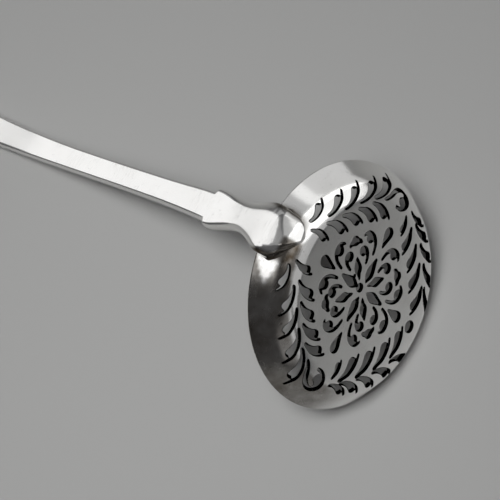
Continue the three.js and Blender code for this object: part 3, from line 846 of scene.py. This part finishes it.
@dataclass
class Handle:
    """The forged handle: domed drop, waist, two pointed shoulders, stem and fiddle end.

    The first column of a table is a place, measured along the outer face from the bowl's rim; the drop
    lies below nought. The second is for lean the angle of the face from the bowl's axis in degrees, and
    else millimetres: width is half the breadth, near_edge and far_edge are how far the rounding of the
    outer corners runs across, on the side of positive Y and on the other, crown is how far the middle
    of the face stands over its sides, aside is how far the hammer set the middle towards negative Y,
    and bedding is how much deeper than thick the rings reach where the drop laps the bowl.

    A fold is a soft crease over the drop: where it crosses the middle line, how far its line slants
    along for each millimetre across, the turn of the face past it in degrees, and its softness. Rings
    are the first place, the last and the step of each stretch, from the drop to the tip's rounding.
    """

    skin: Skin = field(default_factory=Skin)
    patina_and_shade_marks: HandlePatinaAndShade = field(default_factory=HandlePatinaAndShade)
    gap: float = 0.02
    gap_past_rim: float = 0.1
    lap: float = 7.2
    reach: float = 127.0
    inner_edge: float = 0.45
    fold_reach: float = 4.0
    lean: Table = (
        (0.0, 3.0), (0.6, 2.0), (1.2, 1.2), (2.0, 0.6), (3.2, 0.4), (8.9, 0.8), (15.0, 7.4), (22.0, 14.2),
        (40.0, 13.3), (52.0, 13.9), (62.0, 17.9), (76.2, 26.3), (96.0, 36.7), (127.0, 52.0),
    )
    width: Table = (
        (-7.2, 0.1), (-7.15, 0.6), (-7.0, 1.15), (-6.8, 1.68), (-6.5, 2.2), (-6.1, 2.72), (-5.5, 3.3),
        (-4.8, 3.85), (-3.8, 4.4), (-2.8, 4.75), (-2.0, 4.96), (0.0, 5.17), (1.5, 5.15), (2.3, 4.98),
        (3.0, 4.76), (4.0, 4.4), (5.0, 4.05), (6.0, 3.72), (7.0, 3.46), (8.0, 3.26), (9.0, 3.18),
        (10.0, 3.2), (11.0, 3.3),
        (12.0, 3.46), (13.0, 3.66), (14.0, 3.86), (15.2, 4.06), (16.2, 4.12), (16.6, 4.06), (16.85, 3.55),
        (17.1, 3.2), (18.5, 3.1), (20.0, 3.03), (22.0, 2.94), (24.0, 2.83), (26.0, 2.76), (30.0, 2.65),
        (34.0, 2.6), (38.0, 2.56), (44.0, 2.53), (54.0, 2.54), (60.0, 2.6), (66.0, 2.72), (70.0, 2.82),
        (74.0, 2.96), (80.0, 3.32), (85.3, 3.75), (87.6, 4.1), (87.9, 5.5), (88.1, 6.99), (89.5, 7.2),
        (92.7, 6.67), (97.8, 6.88), (104.1, 8.06), (109.9, 9.35), (114.9, 10.1), (118.7, 10.08), (121.9, 9.0),
        (124.5, 6.99), (126.1, 4.4), (126.8, 2.1), (127.0, 0.1),
    )
    thick: Table = (
        (-7.2, 0.3), (-7.15, 0.95), (-7.0, 1.35), (-6.7, 1.8), (-6.3, 2.1), (-5.8, 2.31), (-5.2, 2.46),
        (-4.6, 2.53), (-4.0, 2.55), (-3.4, 2.53), (-2.9, 2.48), (-2.5, 2.41), (-2.1, 2.3), (-1.7, 2.15),
        (-1.3, 1.98), (-0.9, 1.78), (-0.45, 1.45), (0.0, 1.1), (1.2, 1.6), (2.5, 2.1), (6.3, 2.55),
        (11.4, 2.7), (16.5, 2.64), (30.5, 2.4), (63.5, 2.16), (87.6, 1.97), (114.0, 1.73), (127.0, 1.5),
    )
    near_edge: Table = (
        (-7.2, 1.0), (-6.0, 1.7), (-4.0, 1.9), (-1.0, 1.6), (1.0, 1.5), (3.0, 1.35), (5.0, 1.2), (9.0, 0.95),
        (14.0, 0.85), (20.0, 0.72), (40.0, 0.66), (80.0, 0.6), (127.0, 0.5),
    )
    far_edge: Table = (
        (-7.2, 0.8), (-5.0, 1.2), (-3.0, 1.8), (-1.0, 2.4), (2.0, 2.8), (5.0, 2.6), (9.0, 1.8), (14.0, 1.2),
        (20.0, 0.85), (40.0, 0.72), (80.0, 0.6), (127.0, 0.5),
    )
    crown: Table = ((-7.2, 0.1), (-4.5, 0.3), (-1.0, 0.15), (3.0, 0.08), (9.0, 0.05), (127.0, 0.04))
    aside: Table = (
        (-7.2, 0.45), (-7.0, 0.3), (-6.8, 0.15), (-6.5, 0.05), (-6.1, -0.08), (-5.5, -0.3), (-4.8, -0.52),
        (-3.8, -0.8), (-2.8, -0.95), (-2.0, -1.0), (0.0, -0.91), (1.5, -0.67), (3.0, -0.26), (4.8, 0.1),
        (6.5, 0.3), (8.0, 0.42), (10.0, 0.5), (13.0, 0.42), (16.0, 0.32), (18.0, 0.42), (21.0, 0.5),
        (80.0, 0.5), (105.0, 0.0), (127.0, 0.0),
    )
    bedding: Table = (
        (-7.2, 1.6), (-1.7, 1.6), (-0.9, 0.62), (0.0, 0.4), (1.0, 0.12), (2.0, 0.0), (127.0, 0.0),
    )
    folds: Table = ((-0.9, 0.31, 8.0, 0.12), (-2.9, -0.42, 32.0, 0.7))
    rings: Table = (
        (0.15, 15.4, 0.25), (15.4, 17.4, 0.08), (17.4, 30.0, 0.5), (30.0, 84.0, 1.2), (84.0, 87.3, 0.4),
        (87.3, 88.5, 0.07), (88.5, 120.0, 0.7),
    )
    corner_points: int = 11
    face_points: int = 16
    back_points: int = 18
    drop_rings: int = 40
    tip_rings: int = 26
    tip_length: float = 7.2
    face_steps: int = 6000
    drop_steps: int = 400
    chord: float = 1.0
    foot_steps: int = 34
    foot_from: float = 0.02
    foot_depth: float = 3.5

    def face(self, places: np.ndarray) -> tuple[np.ndarray, np.ndarray, np.ndarray, np.ndarray]:
        """Middle of the outer face, and its normal.

        Below the rim it stands the thickness off the bowl's skin. Past the rim each small step goes the
        sine of the lean outwards and its cosine down. The normal is square to the line between the
        points that lie half a chord before and after.

        Args:
            places: along the face from the rim.

        Returns:
            X and Z of the middle, and the same two parts of the outward normal.
        """
        fine = np.linspace(0, self.reach, self.face_steps)
        lean = np.radians(smooth_read(self.lean, (fine[1:] + fine[:-1]) / 2))
        step = fine[1] - fine[0]
        at_rim = float(smooth_read(self.thick, np.array([0.0]))[0])
        radius, height, _ = self.skin.section(np.array([self.skin.rim_at]), at_rim)
        x = radius[0] + np.concatenate([[0], np.cumsum(step * np.sin(lean))])
        z = height[0] - np.concatenate([[0], np.cumsum(step * np.cos(lean))])
        below = np.linspace(-self.lap, 0, self.drop_steps)[:-1]
        drop_x, drop_z, _ = self.skin.section(self.skin.rim_at + below, smooth_read(self.thick, below))
        every = np.concatenate([below, fine])
        lines = (np.concatenate([drop_x, x]), np.concatenate([drop_z, z]))
        middle, before, after = (
            np.array([np.interp(places + spread, every, line) for line in lines])
            for spread in (0.0, -self.chord / 2, self.chord / 2)
        )
        run = after - before
        run /= np.hypot(*run)
        return middle[0], middle[1], -run[1], run[0]

    def section(self, wide: float, deep: float, near: float, far: float, crown: float) -> np.ndarray:
        """Points round one section: across, and down from the top of its crown.

        A rectangle with rounded corners. The face stands up in the middle by the crown, which falls off
        with the square of the share of the half width.

        Args:
            wide: half width.
            deep: thickness.
            near: how far the rounding of the outer corner runs across, on the side of positive Y, nine
                tenths of the half width at most; it goes as deep, or four fifths of the thickness
                where that is less.
            far: the same for the other outer corner.
            crown: rise of the face's middle over its sides.

        Returns:
            Points from one side over the face to the other and back below, shape (72, 2).
        """
        near, far = (min(edge, 0.9 * wide) for edge in (near, far))
        near_down, far_down = (min(edge, 0.8 * deep) for edge in (near, far))
        inner = min(self.inner_edge, 0.5 * wide, 0.95 * (deep - max(near_down, far_down)))
        turn = np.linspace(0, math.pi / 2, self.corner_points)
        s, c = np.sin(turn), np.cos(turn)
        right = np.column_stack([wide - near + near * c, near_down - near_down * s])
        left = np.column_stack([far - wide - far * s, far_down - far_down * c])
        flat = np.linspace(wide - near, far - wide, self.face_points)[1:-1]
        below = np.column_stack([wide - inner + inner * s, deep - inner + inner * c])[:-1]
        base = np.linspace(inner - wide, wide - inner, self.back_points)[1:-1]
        ring = np.vstack([
            right, np.column_stack([flat, np.zeros(len(flat))]), left, below[::-1] * np.array([-1.0, 1.0]),
            np.column_stack([base, np.full(len(base), deep)]), below,
        ])
        share = np.minimum(np.abs(ring[:, 0]) / wide, 1.0)
        sink = crown * share**2 * (1 - ring[:, 1] / deep)
        return np.column_stack([ring[:, 0], ring[:, 1] + sink])

    def build(self) -> bpy.types.Object:
        """Makes the handle as rings carried along the face.

        Where the drop laps the bowl the rings reach deeper than the handle is thick, and points that
        would enter the bowl are set on its skin. Past a fold's line the face sinks by the tangent of its
        turn for each millimetre, begun softly (a softplus of the distance), less what it would sink on
        the middle line, and the sinking fades to nothing at the back.

        Returns:
            The handle's object.
        """
        drop_at = -self.lap * np.cos(np.linspace(0, math.pi / 2, self.drop_rings))
        tip_at = self.reach - self.tip_length * (1 - np.sin(np.linspace(0, math.pi / 2, self.tip_rings)))
        dense = np.concatenate([drop_at, *(np.arange(*row) for row in self.rings), tip_at])
        places = np.unique(np.round(dense, 4))
        x, z, nx, nz = (part[:, None] for part in self.face(places))
        wide, thick, near, far, crown, aside, bedding = (
            smooth_read(table, places)
            for table in (
                self.width, self.thick, self.near_edge, self.far_edge, self.crown, self.aside, self.bedding,
            )
        )
        deep = thick + bedding
        shape = np.stack([self.section(*row) for row in zip(wide, deep, near, far, crown)])
        across = shape[:, :, 0] - aside[:, None]
        down = shape[:, :, 1]
        slanted = np.clip(across, -self.fold_reach, self.fold_reach)
        fade = np.clip(1 - down / deep[:, None], 0.0, 1.0)
        for start, skew, turn, soft in self.folds:
            past = (start - places)[:, None]
            bent = np.logaddexp(0.0, (past + skew * slanted) / soft) - np.logaddexp(0.0, past / soft)
            down += math.tan(math.radians(turn)) * soft * bent * fade
        points = np.stack([x - nx * down, across, z - nz * down], axis=2).reshape(-1, 3)
        layout, off = self.skin.unwrap(points)
        over = (off < self.gap) & (np.linalg.norm(layout, axis=1) < self.skin.rim_at + self.gap_past_rim)
        points[over] = self.skin.wrap(layout[over], self.gap)
        along = np.repeat(places, down.shape[1])
        patina_and_shade = self.patina_and_shade_marks.patina_and_shade(along, points[:, 1], (down / thick[:, None]).ravel(), off)
        piece = make_piece("fiddle_handle", points, tube(*down.shape), None, {"patina_and_shade": patina_and_shade})
        turn_out(piece)
        return piece

    def foot(self) -> np.ndarray:
        """Edge of the drop on the bowl, in the flat layout, from one side of the rim round to the other.

        Each side of a section runs straight down from half its depth, and meets the skin where its
        offset comes to nought.

        Returns:
            Places of the flat layout, shape (n, 2).
        """
        places = -self.lap * np.sin(np.linspace(self.foot_from, math.pi / 2, self.foot_steps))
        x, z, nx, nz = self.face(places)
        wide, thick = smooth_read(self.width, places), smooth_read(self.thick, places)
        aside = smooth_read(self.aside, places)
        sides = []
        for way in (1.0, -1.0):
            found = []
            for depth in (0.0, self.foot_depth):
                down = thick * 0.5 + depth
                level = np.column_stack([x - nx * down, way * wide - aside, z - nz * down])
                found.append(self.skin.unwrap(level))
            (high, high_off), (low, low_off) = found
            sides.append(high + (high_off / (high_off - low_off))[:, None] * (low - high))
        return np.vstack([sides[0], sides[1][::-1][1:]])


@dataclass
class SolderSeam:
    """The thin hollow bead of solder that runs round the drop's edge on the bowl.

    From each end the share of its full size grows by taper times the share of its length, from the
    thinnest up to one. The clearance holds it off both bowl and drop. Sizes are millimetres.
    """

    handle: Handle = field(default_factory=Handle)
    skin: Skin = field(default_factory=Skin)
    width: float = 0.42
    height: float = 0.4
    clearance: float = 0.03
    taper: float = 14.0
    thinnest: float = 0.12
    steps: int = 7

    def build(self) -> bpy.types.Object:
        """Makes the bead.

        Across, its face is a hollow quarter round: at angle a it stands w(1 - sin a) out from the drop
        and h(1 - cos a) up from the bowl, and a last point closes it in the corner between them.

        Returns:
            The bead's object.
        """
        path = self.handle.foot()
        run = np.gradient(path, axis=0)
        run /= np.linalg.norm(run, axis=1, keepdims=True)
        out = np.column_stack([run[:, 1], -run[:, 0]])
        if out[len(path) // 2, 0] > 0:
            out = -out
        length = np.linspace(0, 1, len(path))
        size = np.clip(np.minimum(length, 1 - length) * self.taper, self.thinnest, 1.0)[:, None]
        angle = np.linspace(0, math.pi / 2, self.steps)
        side = np.concatenate([1 - np.sin(angle), [0.0]])
        rise = np.concatenate([1 - np.cos(angle), [0.0]])
        spread = side[None, :] * self.width * size + self.clearance
        lift = rise[None, :] * self.height * size + self.clearance
        place = path[:, None, :] + out[:, None, :] * spread[:, :, None]
        points = self.skin.wrap(place.reshape(-1, 2), lift.ravel())
        # The whole bead takes the full dark tone.
        piece = make_piece("solder_bead", points, tube(*lift.shape), None, {"patina_and_shade": np.ones(lift.size)})
        turn_out(piece)
        return piece


# Finishes.


class Value:
    """A shader socket that takes part in Python sums; each operator adds a Math node."""

    def __init__(self, surface: "Surface", socket: bpy.types.NodeSocket) -> None:
        """Wraps a socket of a surface's node tree."""
        self.surface = surface
        self.socket = socket

    def math(self, operation: str, first: Any, second: Any = None) -> "Value":
        """Adds one Math node.

        Args:
            operation: of the node.
            first: a number or Value.
            second: the same, where the operation takes two.

        Returns:
            The result.
        """
        values = {0: first} if second is None else {0: first, 1: second}
        node = self.surface.node("ShaderNodeMath", {"operation": operation}, values)
        return Value(self.surface, node.outputs[0])

    def __add__(self, other: Any) -> "Value":
        """Sum."""
        return self.math("ADD", self, other)

    def __radd__(self, other: Any) -> "Value":
        """Sum, with the number first."""
        return self.math("ADD", other, self)

    def __sub__(self, other: Any) -> "Value":
        """Difference."""
        return self.math("SUBTRACT", self, other)

    def __rsub__(self, other: Any) -> "Value":
        """Difference, with the number first."""
        return self.math("SUBTRACT", other, self)

    def __mul__(self, other: Any) -> "Value":
        """Product."""
        return self.math("MULTIPLY", self, other)

    def __rmul__(self, other: Any) -> "Value":
        """Product, with the number first."""
        return self.math("MULTIPLY", other, self)

    def over(self, other: Any) -> "Value":
        """The larger of the two."""
        return self.math("MAXIMUM", self, other)

    def size(self) -> "Value":
        """Its size without the sign."""
        return self.math("ABSOLUTE", self)

    def clamped(self) -> "Value":
        """Kept between 0 and 1."""
        return self.math("MINIMUM", self.over(0.0), 1.0)

    def eased(self, low: float, high: float) -> "Value":
        """Rises smoothly from 0 to 1.

        Args:
            low: where it starts to rise.
            high: where it is 1.

        Returns:
            The eased value.
        """
        settings = {"interpolation_type": "SMOOTHSTEP"}
        values = {0: self, 1: low, 2: high, 3: 0.0, 4: 1.0}
        return Value(self.surface, self.surface.node("ShaderNodeMapRange", settings, values).outputs[0])


class Nodes:
    """A node tree, with the one method that adds nodes to it."""

    def __init__(self, tree: bpy.types.NodeTree) -> None:
        """Takes the tree of a material or of the world."""
        self.tree = tree

    def node(
        self,
        kind: str,
        settings: dict[str, Any] | None = None,
        values: dict[int | str, Any] | None = None,
    ) -> bpy.types.Node:
        """Adds a node.

        Args:
            kind: the node's type.
            settings: properties, set first.
            values: numbers, colours, sockets or Values for its inputs, by name or number.

        Returns:
            The node.
        """
        made = self.tree.nodes.new(kind)
        for key, value in (settings or {}).items():
            setattr(made, key, value)
        for key, value in (values or {}).items():
            self.join(made.inputs[key], value)
        return made

    def join(self, socket: bpy.types.NodeSocket, value: Any) -> None:
        """Links a Value or socket into an input, or sets its number or colour.

        Args:
            socket: the input.
            value: what goes in; a colour's three numbers are made opaque.
        """
        if isinstance(value, Value):
            value = value.socket
        if isinstance(value, bpy.types.NodeSocket):
            self.tree.links.new(value, socket)
        elif isinstance(value, (tuple, list)) and len(value) == 3 and socket.type == "RGBA":
            socket.default_value = (*value, 1.0)
        else:
            socket.default_value = value

    def mix(self, factor: Any, first: Any, second: Any) -> bpy.types.NodeSocket:
        """Mixes two colours by a factor."""
        return self.node("ShaderNodeMix", {"data_type": "RGBA"}, {0: factor, 6: first, 7: second}).outputs[2]


class Surface(Nodes):
    """One material and its node tree."""

    def __init__(self, name: str) -> None:
        """Starts a material with a Principled shader and the object's coordinates.

        Args:
            name: of the material.
        """
        self.material = bpy.data.materials.new(name)
        self.material.use_nodes = True
        super().__init__(self.material.node_tree)
        self.tree.nodes.clear()
        self.shader = self.node("ShaderNodeBsdfPrincipled")
        self.node("ShaderNodeOutputMaterial", values={"Surface": self.shader.outputs[0]})
        self.place = self.node("ShaderNodeTexCoord").outputs["Object"]

    def shade(self, values: dict[str, Any]) -> None:
        """Links or sets inputs of the Principled shader, by name."""
        for key, value in values.items():
            self.join(self.shader.inputs[key], value)

    def mark(self, name: str) -> Value:
        """A value kept on the mesh's points."""
        return Value(self, self.node("ShaderNodeAttribute", {"attribute_name": name}).outputs["Fac"])

    def noise(self, scale: float, detail: float, rough: float = 0.5, at: Any = None) -> Value:
        """Cloudy noise on the object's own coordinates.

        Args:
            scale: cycles per metre.
            detail: how many finer layers it has.
            rough: how strong each layer is against the one before.
            at: other coordinates, where given.

        Returns:
            The noise, about 0.5 in the middle.
        """
        node = self.node("ShaderNodeTexNoise", values={
            "Vector": at or self.place, "Scale": scale, "Detail": detail, "Roughness": rough,
        })
        return Value(self, node.outputs["Fac"])

    def stretched(self, turn: Vec3, scale: Vec3) -> bpy.types.NodeSocket:
        """The object's coordinates turned and stretched, for streaks.

        Args:
            turn: about X, Y and Z, in degrees.
            scale: cycles per metre along X, Y and Z.

        Returns:
            The coordinates' socket.
        """
        node = self.node("ShaderNodeMapping", values={
            "Vector": self.place, "Rotation": tuple(math.radians(a) for a in turn), "Scale": scale,
        })
        return node.outputs[0]

    def bump(self, height: Any, distance: float, below: Any = None) -> bpy.types.NodeSocket:
        """Bump at full strength.

        Args:
            height: a Value.
            distance: metres that a height of 1 stands for.
            below: a normal that it is laid over, where given.

        Returns:
            The normal's socket.
        """
        values = {"Height": height, "Distance": distance, "Strength": 1.0}
        if below is not None:
            values["Normal"] = below
        return self.node("ShaderNodeBump", values=values).outputs[0]


@dataclass(frozen=True)
class SilverFinish:
    """Old polished silver: bright, and warm grey-brown where the mesh's mark paints patina and painted shade.

    Fine scratches run several ways, small pits dot the face, and the sheet waves slightly where it was
    hammered. Waves and scratches are heights in metres, pits is a strength from 0 to 1. Cloud, mottle,
    grain and pitting are cycles of noise per metre. A scratch direction is its turn in degrees, then
    the cycles per metre along it and those of the gaps that break it up; hair is the cycles across it,
    in its own plane and through it.
    """

    name: str
    bright: Vec3 = (0.93, 0.925, 0.91)
    dull: Vec3 = (0.7, 0.69, 0.66)
    # Dark colour for patina and for painted shade.
    tarnish_and_shade: Vec3 = (0.07, 0.052, 0.034)
    roughness: float = 0.1
    dullness: float = 0.08
    film: float = 0.3
    waves: float = 0.0001
    scratches: float = 0.0000012
    pits: float = 0.5
    cloud: float = 85.0
    mottle: float = 420.0
    grain: float = 1900.0
    pitting: float = 2600.0
    hair: Band = (2600.0, 900.0)
    scratch_ways: tuple[tuple[Vec3, float, float], ...] = (
        ((0, 0, 20), 130.0, 160.0), ((10, 35, -50), 160.0, 200.0), ((50, 10, 80), 190.0, 240.0),
    )

    def scratch(self, surface: Surface) -> Value:
        """Hair scratches: thin lines where stretched noise crosses its middle, broken up by a cloud.

        Args:
            surface: the material that they are on.

        Returns:
            The strongest scratch at each place, from 0 to 1.
        """
        lines = []
        for turn, along, gaps in self.scratch_ways:
            place = surface.stretched(turn, (self.hair[0], along, self.hair[1]))
            streak = surface.noise(1.0, 1.0, 0.4, place)
            line = 1 - (streak - 0.5).size().eased(0.004, 0.03)
            lines.append(line * surface.noise(gaps, 1.0).eased(0.5, 0.62))
        return reduce(Value.over, lines)

    def dress(self, piece: bpy.types.Object) -> None:
        """Makes the material and gives it to a piece.

        Args:
            piece: the object, whose mesh keeps how much patina and painted shade darken each point.
        """
        surface = Surface(self.name)
        patina_and_shade = surface.mark("patina_and_shade")
        cloud = surface.noise(self.cloud, 2.0)
        mottle = surface.noise(self.mottle, 4.0, 0.6)
        grain = surface.noise(self.grain, 2.0)
        scratch = self.scratch(surface)
        pit = surface.noise(self.pitting, 0.0).eased(0.78, 0.84) * self.pits
        patchy = (mottle * 0.8 + cloud * 0.9 - 0.45).clamped()
        # The darkening mark mixes in the dark colour: patina in part, painted shade and painted dark
        # reflections in part.
        stain_and_shade = (patina_and_shade * (0.6 + 0.7 * patchy) + 0.4 * pit).clamped()
        film = (cloud.eased(0.42, 0.75) * self.film + scratch * 0.15 + 0.1 * mottle).clamped()
        rough = self.roughness + 0.04 * cloud + 0.04 * mottle + 0.08 * scratch + self.dullness * patina_and_shade
        wave = surface.bump(cloud, self.waves)
        marks = 0.5 - 0.5 * scratch - 3.0 * pit + 0.3 * grain
        surface.shade({
            "Base Color": surface.mix(stain_and_shade, surface.mix(film, self.bright, self.dull), self.tarnish_and_shade),
            "Roughness": rough.clamped(),
            "Metallic": 1.0,
            "Normal": surface.bump(marks, self.scratches, wave),
        })
        piece.data.materials.clear()
        piece.data.materials.append(surface.material)


# The studio.


class Lights(Enum):
    """What a lamp is for: the light on the floor, or a soft card that the polished silver mirrors."""

    FLOOR = "floor"
    SILVER = "silver"


@dataclass(frozen=True)
class SoftLamp:
    """A soft box: where it stands, what it faces, its sides in metres and how bright its cloth looks."""

    name: str
    place: Vec3
    aim: Vec3
    sides: tuple[float, float]
    glow: float
    lights: Lights = Lights.SILVER

    def hang(self) -> None:
        """Adds the lamp. Its power is glow times pi times its area, so that its cloth has that glow."""
        lamp = bpy.data.lights.new(self.name, "AREA")
        lamp.shape = "RECTANGLE"
        lamp.size, lamp.size_y = self.sides
        lamp.energy = self.glow * math.pi * self.sides[0] * self.sides[1]
        holder = bpy.data.objects.new(self.name, lamp)
        turn = (Vector(self.aim) - Vector(self.place)).to_track_quat("-Z", "Y")
        holder.matrix_world = Matrix.Translation(self.place) @ turn.to_matrix().to_4x4()
        holder.visible_camera = False
        holder.visible_diffuse = self.lights is Lights.FLOOR
        holder.visible_glossy = self.lights is Lights.SILVER
        bpy.context.scene.collection.objects.link(holder)


@dataclass(frozen=True)
class Studio:
    """Pale floor, soft lamps, quiet surroundings and the photograph's camera.

    The floor's lamps give all diffuse light and show in no reflection; the cards are only mirrored. The
    surroundings are the light that the room gives, the backdrop is what camera and silver see of it.
    Places are metres; right, up and back are the camera's own directions; lens and film are
    millimetres.
    """

    floor_colour: Vec3 = (0.42, 0.42, 0.415)
    floor_roughness: float = 0.9
    floor_shine: float = 0.1
    floor_half: float = 3.0
    floor_clearance: float = 0.00005
    surroundings: Vec3 = (0.012, 0.012, 0.0125)
    backdrop: Vec3 = (0.1, 0.1, 0.103)
    lamps: tuple[SoftLamp, ...] = (
        SoftLamp("overhead", (-0.027, 0.051, 0.24), (-0.06, 0.0, 0.0), (0.07, 0.07), 15.0, Lights.FLOOR),
        SoftLamp("ceiling", (0.31, 0.44, 2.4), (-0.06, 0.0, 0.0), (0.7, 0.7), 17.0, Lights.FLOOR),
        SoftLamp("window", (0.0125, 0.1365, 0.495), (-0.06, 0.0, 0.02), (0.16, 0.13), 1.1),
        SoftLamp("crest", (-0.25, -0.03, 0.47), (-0.06, 0.0, 0.02), (0.16, 0.2), 0.85),
        SoftLamp("brow", (0.02, -0.3, 0.41), (-0.06, 0.0, 0.02), (0.28, 0.24), 0.32),
        SoftLamp("lid", (0.161, -0.02, 0.483), (-0.05, 0.0, 0.03), (0.34, 0.58), 0.165),
        SoftLamp("bank", (-0.34, -0.3, 0.34), (-0.06, 0.0, 0.03), (0.44, 0.66), 0.95),
        SoftLamp("far_wing", (-0.4235, -0.09, 0.22), (-0.06, 0.0, 0.03), (0.25, 0.36), 0.3),
        SoftLamp("near_wing", (-0.09, -0.432, 0.22), (-0.06, 0.0, 0.03), (0.4, 0.44), 0.5),
        SoftLamp("far_card", (-0.64, 0.385, 0.28), (0.0, 0.0, 0.02), (0.7, 0.36), 0.3),
        SoftLamp("near_card", (0.65, -0.615, 0.32), (0.0, 0.0, 0.02), (0.7, 0.4), 0.22),
        SoftLamp("low", (0.6, 0.0, 0.185), (0.0, 0.0, 0.02), (0.52, 0.34), 0.9),
        SoftLamp("low_top", (0.465, -0.1, 0.373), (-0.06, 0.0, 0.03), (0.22, 0.135), 0.75),
    )
    camera_place: Vec3 = (-0.0753999, 0.0591504, 0.2721647)
    camera_right: Vec3 = (-0.88676613, -0.46154775, -0.02488991)
    camera_up: Vec3 = (0.44021955, -0.85975086, 0.25891158)
    camera_back: Vec3 = (-0.14089918, 0.21863699, 0.96558029)
    lens: float = 93.6
    film: float = 36.0
    clip: Band = (0.01, 30.0)

    def camera(self) -> None:
        """Sets up the camera where the photograph was taken from."""
        data = bpy.data.cameras.new("camera")
        data.lens, data.sensor_width = self.lens, self.film
        data.clip_start, data.clip_end = self.clip
        holder = bpy.data.objects.new("camera", data)
        turn = Matrix((self.camera_right, self.camera_up, self.camera_back)).transposed()
        holder.matrix_world = Matrix.Translation(self.camera_place) @ turn.to_4x4()
        bpy.context.scene.collection.objects.link(holder)
        bpy.context.scene.camera = holder

    def floor(self) -> None:
        """Lays the pale floor."""
        half = self.floor_half
        corners = [(-half, -half, 0), (half, -half, 0), (half, half, 0), (-half, half, 0)]
        mesh = bpy.data.meshes.new("floor")
        mesh.from_pydata(corners, [], [(0, 1, 2, 3)])
        floor = bpy.data.objects.new("floor", mesh)
        floor.location.z = -self.floor_clearance
        bpy.context.scene.collection.objects.link(floor)
        surface = Surface("floor_paper")
        surface.shade({
            "Base Color": self.floor_colour,
            "Roughness": self.floor_roughness,
            "Specular IOR Level": self.floor_shine,
        })
        mesh.materials.append(surface.material)

    def surround(self) -> None:
        """Fills the room: the camera and the silver see the same backdrop, and it gives little light."""
        world = bpy.data.worlds.new("room")
        world.use_nodes = True
        nodes = Nodes(world.node_tree)
        rays = nodes.node("ShaderNodeLightPath").outputs
        colour: Any = self.surroundings
        for ray in ("Is Camera Ray", "Is Glossy Ray", "Is Transmission Ray"):
            colour = nodes.mix(rays[ray], colour, self.backdrop)
        nodes.join(nodes.tree.nodes["Background"].inputs[0], colour)
        bpy.context.scene.world = world

    def build(self) -> None:
        """Builds the whole studio."""
        self.camera()
        self.floor()
        self.surround()
        for lamp in self.lamps:
            lamp.hang()
        bpy.context.scene.view_settings.view_transform = "Standard"


def settle(piece: bpy.types.Object, node: str) -> None:
    """Ties a finished piece to the model.

    Args:
        piece: the object, which rides on the root.
        node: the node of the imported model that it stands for.
    """
    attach(piece, "root")
    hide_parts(node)
    log.info("%s: %d faces", piece.name, len(piece.data.polygons))


def main() -> None:
    """Builds the studio and the three pieces in order."""
    logging.basicConfig(level=logging.INFO, format="%(message)s")
    Studio().build()
    bowl = SifterBowl().build()
    SilverFinish("bowl_silver").dress(bowl)
    settle(bowl, "sifter_bowl")
    handle = Handle().build()
    SilverFinish("handle_silver", film=0.12, waves=0.00003).dress(handle)
    settle(handle, "handle")
    bead = SolderSeam().build()
    SilverFinish("solder", dull=(0.5, 0.48, 0.43), roughness=0.28, waves=0.00002, pits=0.2).dress(bead)
    settle(bead, "solder_seam")


if __name__ == "__main__":
    main()
